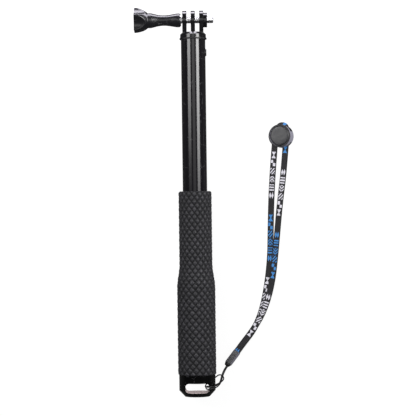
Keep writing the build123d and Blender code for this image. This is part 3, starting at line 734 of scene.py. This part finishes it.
def webbing():
    """Flat woven webbing, darker towards its two edges, printed in white and blue."""
    material, tree, shader, place = new_material("printed webbing")
    along, across, white, blue = (
        put(tree, "ShaderNodeAttribute", attribute_name=name).outputs["Fac"]
        for name in ("along", "across", "white_ink", "blue_ink"))
    weft = calc(tree, "SINE", calc(tree, "MULTIPLY", along, TAU / 0.55))
    warp = calc(tree, "SINE", calc(tree, "MULTIPLY", across, TAU * 4.5))
    weave = calc(tree, "MULTIPLY_ADD", calc(tree, "MULTIPLY", weft, warp), 0.5, 0.5)
    edge = spread(tree, calc(tree, "ABSOLUTE", across), 0.74, 0.9)
    marks = use_group(tree, HANDLING, {"Place": place})
    body = mix_colour(tree, weave, (0.006, 0.006, 0.007), (0.016, 0.015, 0.018))
    body = mix_colour(tree, edge, body, (0.003, 0.003, 0.0035))
    body = stained(tree, body, marks.outputs["Dust"], 0.2, (0.3, 0.3, 0.3))
    worn = spread(tree, weave, 0.0, 0.35, 0.72, 1.0)
    body = mix_colour(tree, calc(tree, "MULTIPLY", white, worn), body, (0.5, 0.49, 0.54))
    body = mix_colour(tree, calc(tree, "MULTIPLY", blue, worn), body, (0.032, 0.17, 0.43))
    tree.links.new(body, shader.inputs["Base Color"])
    ink = calc(tree, "MAXIMUM", white, blue)
    tree.links.new(spread(tree, ink, 0.0, 1.0, 0.72, 0.5), shader.inputs["Roughness"])
    tree.links.new(bump(tree, weave, 0.06, normal=bump(tree, ink, 0.03)), shader.inputs["Normal"])
    shader.inputs["Specular IOR Level"].default_value = 0.3
    shader.inputs["Sheen Weight"].default_value = 0.05
    return material


def make_tether():
    """Fine braided cord, its strands winding both ways."""
    points = smooth_line(TETHER_ROUTE, 20)
    runs = runs_of(points)
    sides, radius = 16, TETHER_D / 2

    def strand(side):
        angle = TAU * side / sides

        def place(step):
            wave = math.cos(2 * angle - runs[step] * 4.2) * math.cos(2 * angle + runs[step] * 4.2)
            reach = radius * (0.95 + 0.05 * wave)
            return reach * math.cos(angle), reach * math.sin(angle)
        return place

    out = UP.copy()
    outs = []
    for heading in headings_of(points):             # carried along, so that the braid never flips
        out = (out - heading * out.dot(heading)).normalized()
        outs.append(out.copy())
    bm, steps, _ = skin(points, [strand(side) for side in range(sides)], outs)
    along = bm.verts.layers.float.new("along")
    for vert in bm.verts:
        vert[along] = runs[vert[steps]]
    material, tree, shader, place = new_material("fine braided cord")
    marks = use_group(tree, HANDLING, {"Place": place})
    run = put(tree, "ShaderNodeAttribute", attribute_name="along").outputs["Fac"]
    bands = calc(tree, "MULTIPLY_ADD", calc(tree, "SINE", calc(tree, "MULTIPLY", run, TAU / 0.75)), 0.5, 0.5)
    body = mix_colour(tree, bands, (0.0015, 0.0015, 0.002), (0.006, 0.006, 0.007))
    tree.links.new(stained(tree, body, marks.outputs["Dust"], 0.2, (0.2, 0.2, 0.2)),
                   shader.inputs["Base Color"])
    fibres = put(tree, "ShaderNodeTexNoise", {"Vector": place, "Scale": 7.0, "Detail": 3.0})
    tree.links.new(bump(tree, calc(tree, "ADD", bands, fibres.outputs["Fac"]), 0.03), shader.inputs["Normal"])
    shader.inputs["Roughness"].default_value = 0.62
    shader.inputs["Sheen Weight"].default_value = 0.02
    piece = finish_piece("tether_braid", bm, "handle", material, "black_cord", "tether_cord", sharp_deg=70)
    return piece, points


# ------------------------ clip and slider
CLIP_LENGTH, CLIP_W, CLIP_T, CLIP_TAPER, CLIP_ROLL = 13.3, 4.7, 4.0, 1.1, math.radians(21)
CLIP_CENTRE, CLIP_HEADING = (25.15, 25.75), math.radians(52.35)
SLIDER_R, SLIDER_H, SLIDER_RIM, SLIDER_TILT, SLIDER_LEAN = 8.3, 8.2, 1.0, math.radians(21), math.radians(5.15)
SLIDER_CENTRE = (64.1, 186.1)
CLIP_NOSE, RIBS, RIB_FIRST, RIB_PITCH, RIB_WIDE, RIB_END = 2.6, 7, 3.4, 1.2, 0.55, 2.2
BUTTON_T, BUTTON_PROUD, BUTTON_GAP, BUTTON_STEM_R, BUTTON_STEM_LOW = 1.6, 0.2, 0.15, 0.7, 2.8


def clip_place():
    """The clip's own frame: Y towards the strap, Z out of its front half."""
    rise = CLIP_T / 2 * math.cos(CLIP_ROLL) + CLIP_W / 2 * math.sin(CLIP_ROLL)
    return (Matrix.Translation((*CLIP_CENTRE, FLOOR_Z + rise))
            @ Matrix.Rotation(CLIP_HEADING - math.pi / 2, 4, "Z") @ Matrix.Rotation(-CLIP_ROLL, 4, "Y"))


def slider_place():
    """The slider's own frame: Y along the strap, Z out of its button, its origin on the back face."""
    return (Matrix.Translation((*SLIDER_CENTRE, FLOOR_Z + SLIDER_R * math.sin(SLIDER_TILT)))
            @ Matrix.Rotation(-SLIDER_LEAN, 4, "Z") @ Matrix.Rotation(-SLIDER_TILT, 4, "Y"))


def dot(tree, vector, direction):
    made = put(tree, "ShaderNodeVectorMath", {0: vector, 1: tuple(direction)}, operation="DOT_PRODUCT")
    return made.outputs["Value"]


def facing(tree, direction):
    """How squarely the surface faces a direction, 1 when it faces it fully."""
    normal = put(tree, "ShaderNodeTexCoord").outputs["Normal"]
    return dot(tree, normal, direction)


def overlay(material, share, colour):
    """Lays another body colour over a finish where share is 1."""
    tree = material.node_tree
    socket = tree.nodes["Principled BSDF"].inputs["Base Color"]
    tree.links.new(mix_colour(tree, share, socket.links[0].from_socket, colour), socket)


def clip_finish_with_painted_light():
    """The clip's own finish: a painted highlight on its flanks, and painted shade on its nose where the cord
    comes out.
    """
    material = moulded(
        "clip with painted lit flanks and painted shaded nose", (0.034, 0.034, 0.038), (0.046, 0.046, 0.051), 0.42, 0.3, 0.012)
    tree, own = material.node_tree, clip_place().to_3x3()
    # painted highlight: the side facing the clip's own X is made pale, as if lit
    overlay(material, spread(tree, facing(tree, own.col[0]), 0.45, 0.7), (0.12, 0.115, 0.145))
    place = put(tree, "ShaderNodeTexCoord").outputs["Object"]
    along = dot(tree, place, own.col[1])
    nose = clip_place().translation.dot(own.col[1]) - CLIP_LENGTH / 2
    # painted shade: the nose, where the cord comes out, is made black
    overlay(material, spread(tree, along, (nose + 3.0) * MM, (nose + 2.4) * MM), BLACK)
    return material


def housing_finish_with_painted_light():
    """The slider housing's finish: dark moulding, its ribbed wall made pale by a painted highlight where it
    faces right, under the dark rim.
    """
    material = moulded(
        "slider housing", (0.005, 0.005, 0.006), (0.009, 0.009, 0.0105), 0.4, 0.35, 0.014, 0.25)
    tree, own = material.node_tree, slider_place().to_3x3()
    turned_away = calc(tree, "ABSOLUTE", facing(tree, own.col[2]))
    to_right = spread(tree, facing(tree, own.col[0]), 0.0, 0.3)
    # painted highlight: the side wall facing right is made pale, as if lit
    wall = calc(tree, "MULTIPLY", spread(tree, turned_away, 0.4, 0.2), to_right)
    overlay(material, wall, (0.19, 0.185, 0.225))
    return material


SLOT_WALL_LOW, SLOT_WALL_HIGH = 2.4, 6.2    # where on the cap the slot's lower wall is, from the base face


def cap_finish_with_painted_light():
    """The end cap's finish: turned black anodising, with the slot's lower wall made pale by painted light."""
    material = anodised("turned cap anodising with painted slot light", *TURNED_BLACK)
    tree = material.node_tree
    place = put(tree, "ShaderNodeTexCoord").outputs["Object"]
    height = put(tree, "ShaderNodeSeparateXYZ", {"Vector": place}).outputs[1]
    inside = calc(tree, "MULTIPLY", calc(tree, "GREATER_THAN", height, SLOT_WALL_LOW * MM),
                  calc(tree, "LESS_THAN", height, SLOT_WALL_HIGH * MM))
    # painted light: the slot's lower wall, facing up the pole, is made pale pink as if lit
    share = calc(tree, "MULTIPLY", inside, spread(tree, facing(tree, (0, 1, 0)), 0.25, 0.6))
    overlay(material, share, (1.0, 0.83, 0.83))
    return material


def lid_area(face):
    """A face's area, or 0 where it isn't the flat outer side of the clip's front half."""
    is_outer = abs(face.normal.z) > 0.9 and face.calc_center_median().z > 1
    return face.calc_area() if is_outer else 0


def in_recess(face):
    """True for the floor of the thumb recess."""
    return face.normal.z > 0.95 and 1.5 < face.calc_center_median().z < CLIP_T / 2 - 0.05


def on_rib(face, low, high):
    """True where one of the recess's ribs stands, between the clip's two ends."""
    y = face.calc_center_median().y
    return (y - low - RIB_FIRST) % RIB_PITCH < RIB_WIDE and low + RIB_FIRST < y < high - RIB_END


def make_clip_half(front):
    """One moulded half: tapered to the cord and rounded; the front has a ribbed thumb recess."""
    bm = bmesh.new()
    sign = 1 if front else -1
    wide, low, high = CLIP_W / 2, -CLIP_LENGTH / 2, CLIP_LENGTH / 2
    nose = low + CLIP_NOSE
    corners = [(-wide, high), (-wide, nose), (-wide + CLIP_TAPER, low),
               (wide - CLIP_TAPER, low), (wide, nose), (wide, high)]
    face = bm.faces.new([bm.verts.new((x, y, 0.03 * sign)) for x, y in corners])
    top = bmesh.ops.extrude_face_region(bm, geom=[face])
    raised = [item for item in top["geom"] if isinstance(item, bmesh.types.BMVert)]
    bmesh.ops.translate(bm, vec=(0, 0, (CLIP_T / 2 - 0.03) * sign), verts=raised)
    bm.edges.ensure_lookup_table()
    outer = [edge for edge in bm.edges if all(abs(v.co.z) > 1 for v in edge.verts)]
    upright = [edge for edge in bm.edges if abs(edge.verts[0].co.z - edge.verts[1].co.z) > 1]
    bmesh.ops.bevel(bm, geom=outer + upright, offset=0.6, segments=4, profile=0.5, affect="EDGES",
                    material=-1, clamp_overlap=True)
    if front:
        lid = max(bm.faces, key=lid_area)
        bmesh.ops.inset_region(bm, faces=[lid], thickness=0.35, depth=0.0)
        bmesh.ops.inset_region(bm, faces=[lid], thickness=0.12, depth=-0.12)
        for index in range(RIBS):
            y = low + RIB_FIRST + index * RIB_PITCH
            for edge_y in (y, y + RIB_WIDE):
                cut = [face for face in bm.faces if in_recess(face)]
                geom = list({g for f in cut for g in (*f.verts, *f.edges, f)})
                bmesh.ops.bisect_plane(bm, geom=geom, plane_co=(0, edge_y, 0), plane_no=(0, 1, 0))
        for rib in [face for face in bm.faces if in_recess(face) and on_rib(face, low, high)]:
            bmesh.ops.inset_region(bm, faces=[rib], thickness=0.1, depth=0.14)
    bmesh.ops.transform(bm, matrix=clip_place(), verts=bm.verts)
    name = "clip_front" if front else "clip_rear"
    return finish_piece(f"{name}_moulded", bm, "handle", CLIP_FINISH_WITH_PAINTED_LIGHT, "clip_plastic", name, sharp_deg=40)


def make_button():
    """The slider's press button: a soft dome with an eased rim over its stem."""
    bm = bmesh.new()
    top, radius = SLIDER_H + BUTTON_PROUD, SLIDER_R - SLIDER_RIM - BUTTON_GAP
    outline = [(0, 0, top), (1.4, 0, top), (2.8, 0, top - 0.02), (4.2, 0, top - 0.05), (5.6, 0, top - 0.1),
               (6.5, 0, top - 0.17), (radius - 0.3, 0, top - 0.3), (radius - 0.08, 0, top - 0.5),
               (radius, 0, top - 0.75), (radius, 0, top - BUTTON_T), (BUTTON_STEM_R, 0, top - BUTTON_T),
               (BUTTON_STEM_R, 0, BUTTON_STEM_LOW), (0, 0, BUTTON_STEM_LOW)]
    outline_wire(bm, outline, closed=False)
    turn_outline(bm, (0, 0, 1), (0, 0, 0), 96)
    bmesh.ops.transform(bm, matrix=slider_place(), verts=bm.verts)
    return finish_piece("slider_button_domed", bm, "slider_press", FINISH["slider_plastic"], "slider_plastic",
                        "slider_button", sharp_deg=40)


STRANDS = strand_group()
OWN_FINISH = {"slider_housing": housing_finish_with_painted_light(), "end_cap": cap_finish_with_painted_light()}
for part in frame["record"]["subparts"]:
    finish = OWN_FINISH.get(part["node"], FINISH.get(part["material_slot"]))
    if finish:
        NODES[part["node"]].data.materials.clear()
        NODES[part["node"]].data.materials.append(finish)
CLIP_FINISH_WITH_PAINTED_LIGHT = clip_finish_with_painted_light()

strap, strap_line = make_strap()
tether, tether_line = make_tether()
clip_front, clip_rear = make_clip_half(True), make_clip_half(False)
slider_button = make_button()
make_grip()
make_knob()
make_stud()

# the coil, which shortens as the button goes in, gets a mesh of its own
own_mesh(NODES["slider_spring"])

# ------------------------ stage and lights
# the floor's dark card, as gloss surfaces see it: where it ends, how softly, and how dark it is
CARD_END, CARD_EDGE, CARD_DARK = 320.0, 6.0, 0.94
TABLE_GLOW = 0.86


def floor_material(name, colour):
    """A pale lit table. Gloss surfaces see a dark card in its place, up to a line past the pole's head."""
    material = bpy.data.materials.new(name)
    material.use_nodes = True
    tree = material.node_tree
    shader = tree.nodes["Principled BSDF"]
    ray = put(tree, "ShaderNodeLightPath")
    place = put(tree, "ShaderNodeTexCoord")
    split = put(tree, "ShaderNodeSeparateXYZ", {"Vector": place.outputs["Object"]})
    along = calc(tree, "MULTIPLY", split.outputs[1], 1 / MM)
    covered = spread(tree, along, CARD_END, CARD_END + CARD_EDGE, CARD_DARK, 0.0)
    share = calc(tree, "MULTIPLY", ray.outputs["Is Glossy Ray"], covered)
    tree.links.new(mix_colour(tree, share, colour, (0.0, 0.0, 0.0)), shader.inputs["Base Color"])
    shader.inputs["Emission Color"].default_value = (1.0, 1.0, 1.0, 1.0)
    tree.links.new(spread(tree, share, 0.0, 1.0, TABLE_GLOW, 0.0), shader.inputs["Emission Strength"])
    shader.inputs["Roughness"].default_value = 0.9
    shader.inputs["Specular IOR Level"].default_value = 0.1
    return material


def make_floor():
    bm = bmesh.new()
    bmesh.ops.create_grid(bm, x_segments=1, y_segments=1, size=3.0)
    bmesh.ops.translate(bm, vec=(0, 0, FLOOR_Z * MM), verts=bm.verts)
    mesh = bpy.data.meshes.new("floor")
    bm.to_mesh(mesh)
    bm.free()
    mesh.materials.append(floor_material("pale floor", (0.12, 0.12, 0.12)))
    floor = bpy.data.objects.new("floor", mesh)
    scene.collection.objects.link(floor)


def soft_box(name, place, aim, size, watts, shadow=True, fade=None, colour=(1, 1, 1)):
    """A rectangular light aimed at a point, in millimetres.

    fade is where along the pole it starts and stops dimming, and the share that is left there.
    """
    light = bpy.data.lights.new(name, "AREA")
    light.shape = "RECTANGLE"
    light.size, light.size_y = size[0] * MM, size[1] * MM
    light.energy, light.use_shadow, light.color = watts, shadow, colour
    if fade:
        light.use_nodes = True
        tree = light.node_tree
        spot = put(tree, "ShaderNodeNewGeometry").outputs["Position"]
        along = put(tree, "ShaderNodeSeparateXYZ", {"Vector": spot}).outputs[1]
        emission = next(node for node in tree.nodes if node.type == "EMISSION")
        tree.links.new(spread(tree, along, fade[0] * MM, fade[1] * MM, fade[2]), emission.inputs["Strength"])
    holder = bpy.data.objects.new(name, light)
    place, aim = Vector(place), Vector(aim)
    holder.location = place * MM
    back = (place - aim).normalized()
    side = Vector((0, 1, 0)).cross(back)
    if side.length < 0.2:
        side = Vector((1, 0, 0))
    side.normalize()
    holder.rotation_mode = "QUATERNION"
    holder.rotation_quaternion = Matrix((side, back.cross(side), back)).transposed().to_quaternion()
    holder.visible_camera = False
    scene.collection.objects.link(holder)


make_floor()
soft_box("right strip", (472, 385, 543), (0, 270, 0), (340, 510), 8.5, shadow=False, fade=(130, 330, 0.12))
soft_box("left strip", (-482, 395, 535), (0, 270, 0), (370, 490), 4.8, fade=(185, 320, 0.06))
soft_box("overhead", (0, 330, 850), (0, 250, 0), (390, 420), 0.75, shadow=False, fade=(120, 320, 0.3))
soft_box("head rim", (-10, 296, 0.8), (-10, 269, 0.8), (110, 12), 0.048, colour=(0.93, 0.9, 1.0))

world = bpy.data.worlds.new("studio")
scene.world = world
world.use_nodes = True
ray = put(world.node_tree, "ShaderNodeLightPath")
background = world.node_tree.nodes["Background"]
background.inputs["Color"].default_value = (1.0, 1.0, 1.0, 1.0)
world.node_tree.links.new(
    spread(world.node_tree, ray.outputs["Is Glossy Ray"], 0.0, 1.0, 0.5, 0.04), background.inputs["Strength"])
scene.view_settings.view_transform = "Standard"
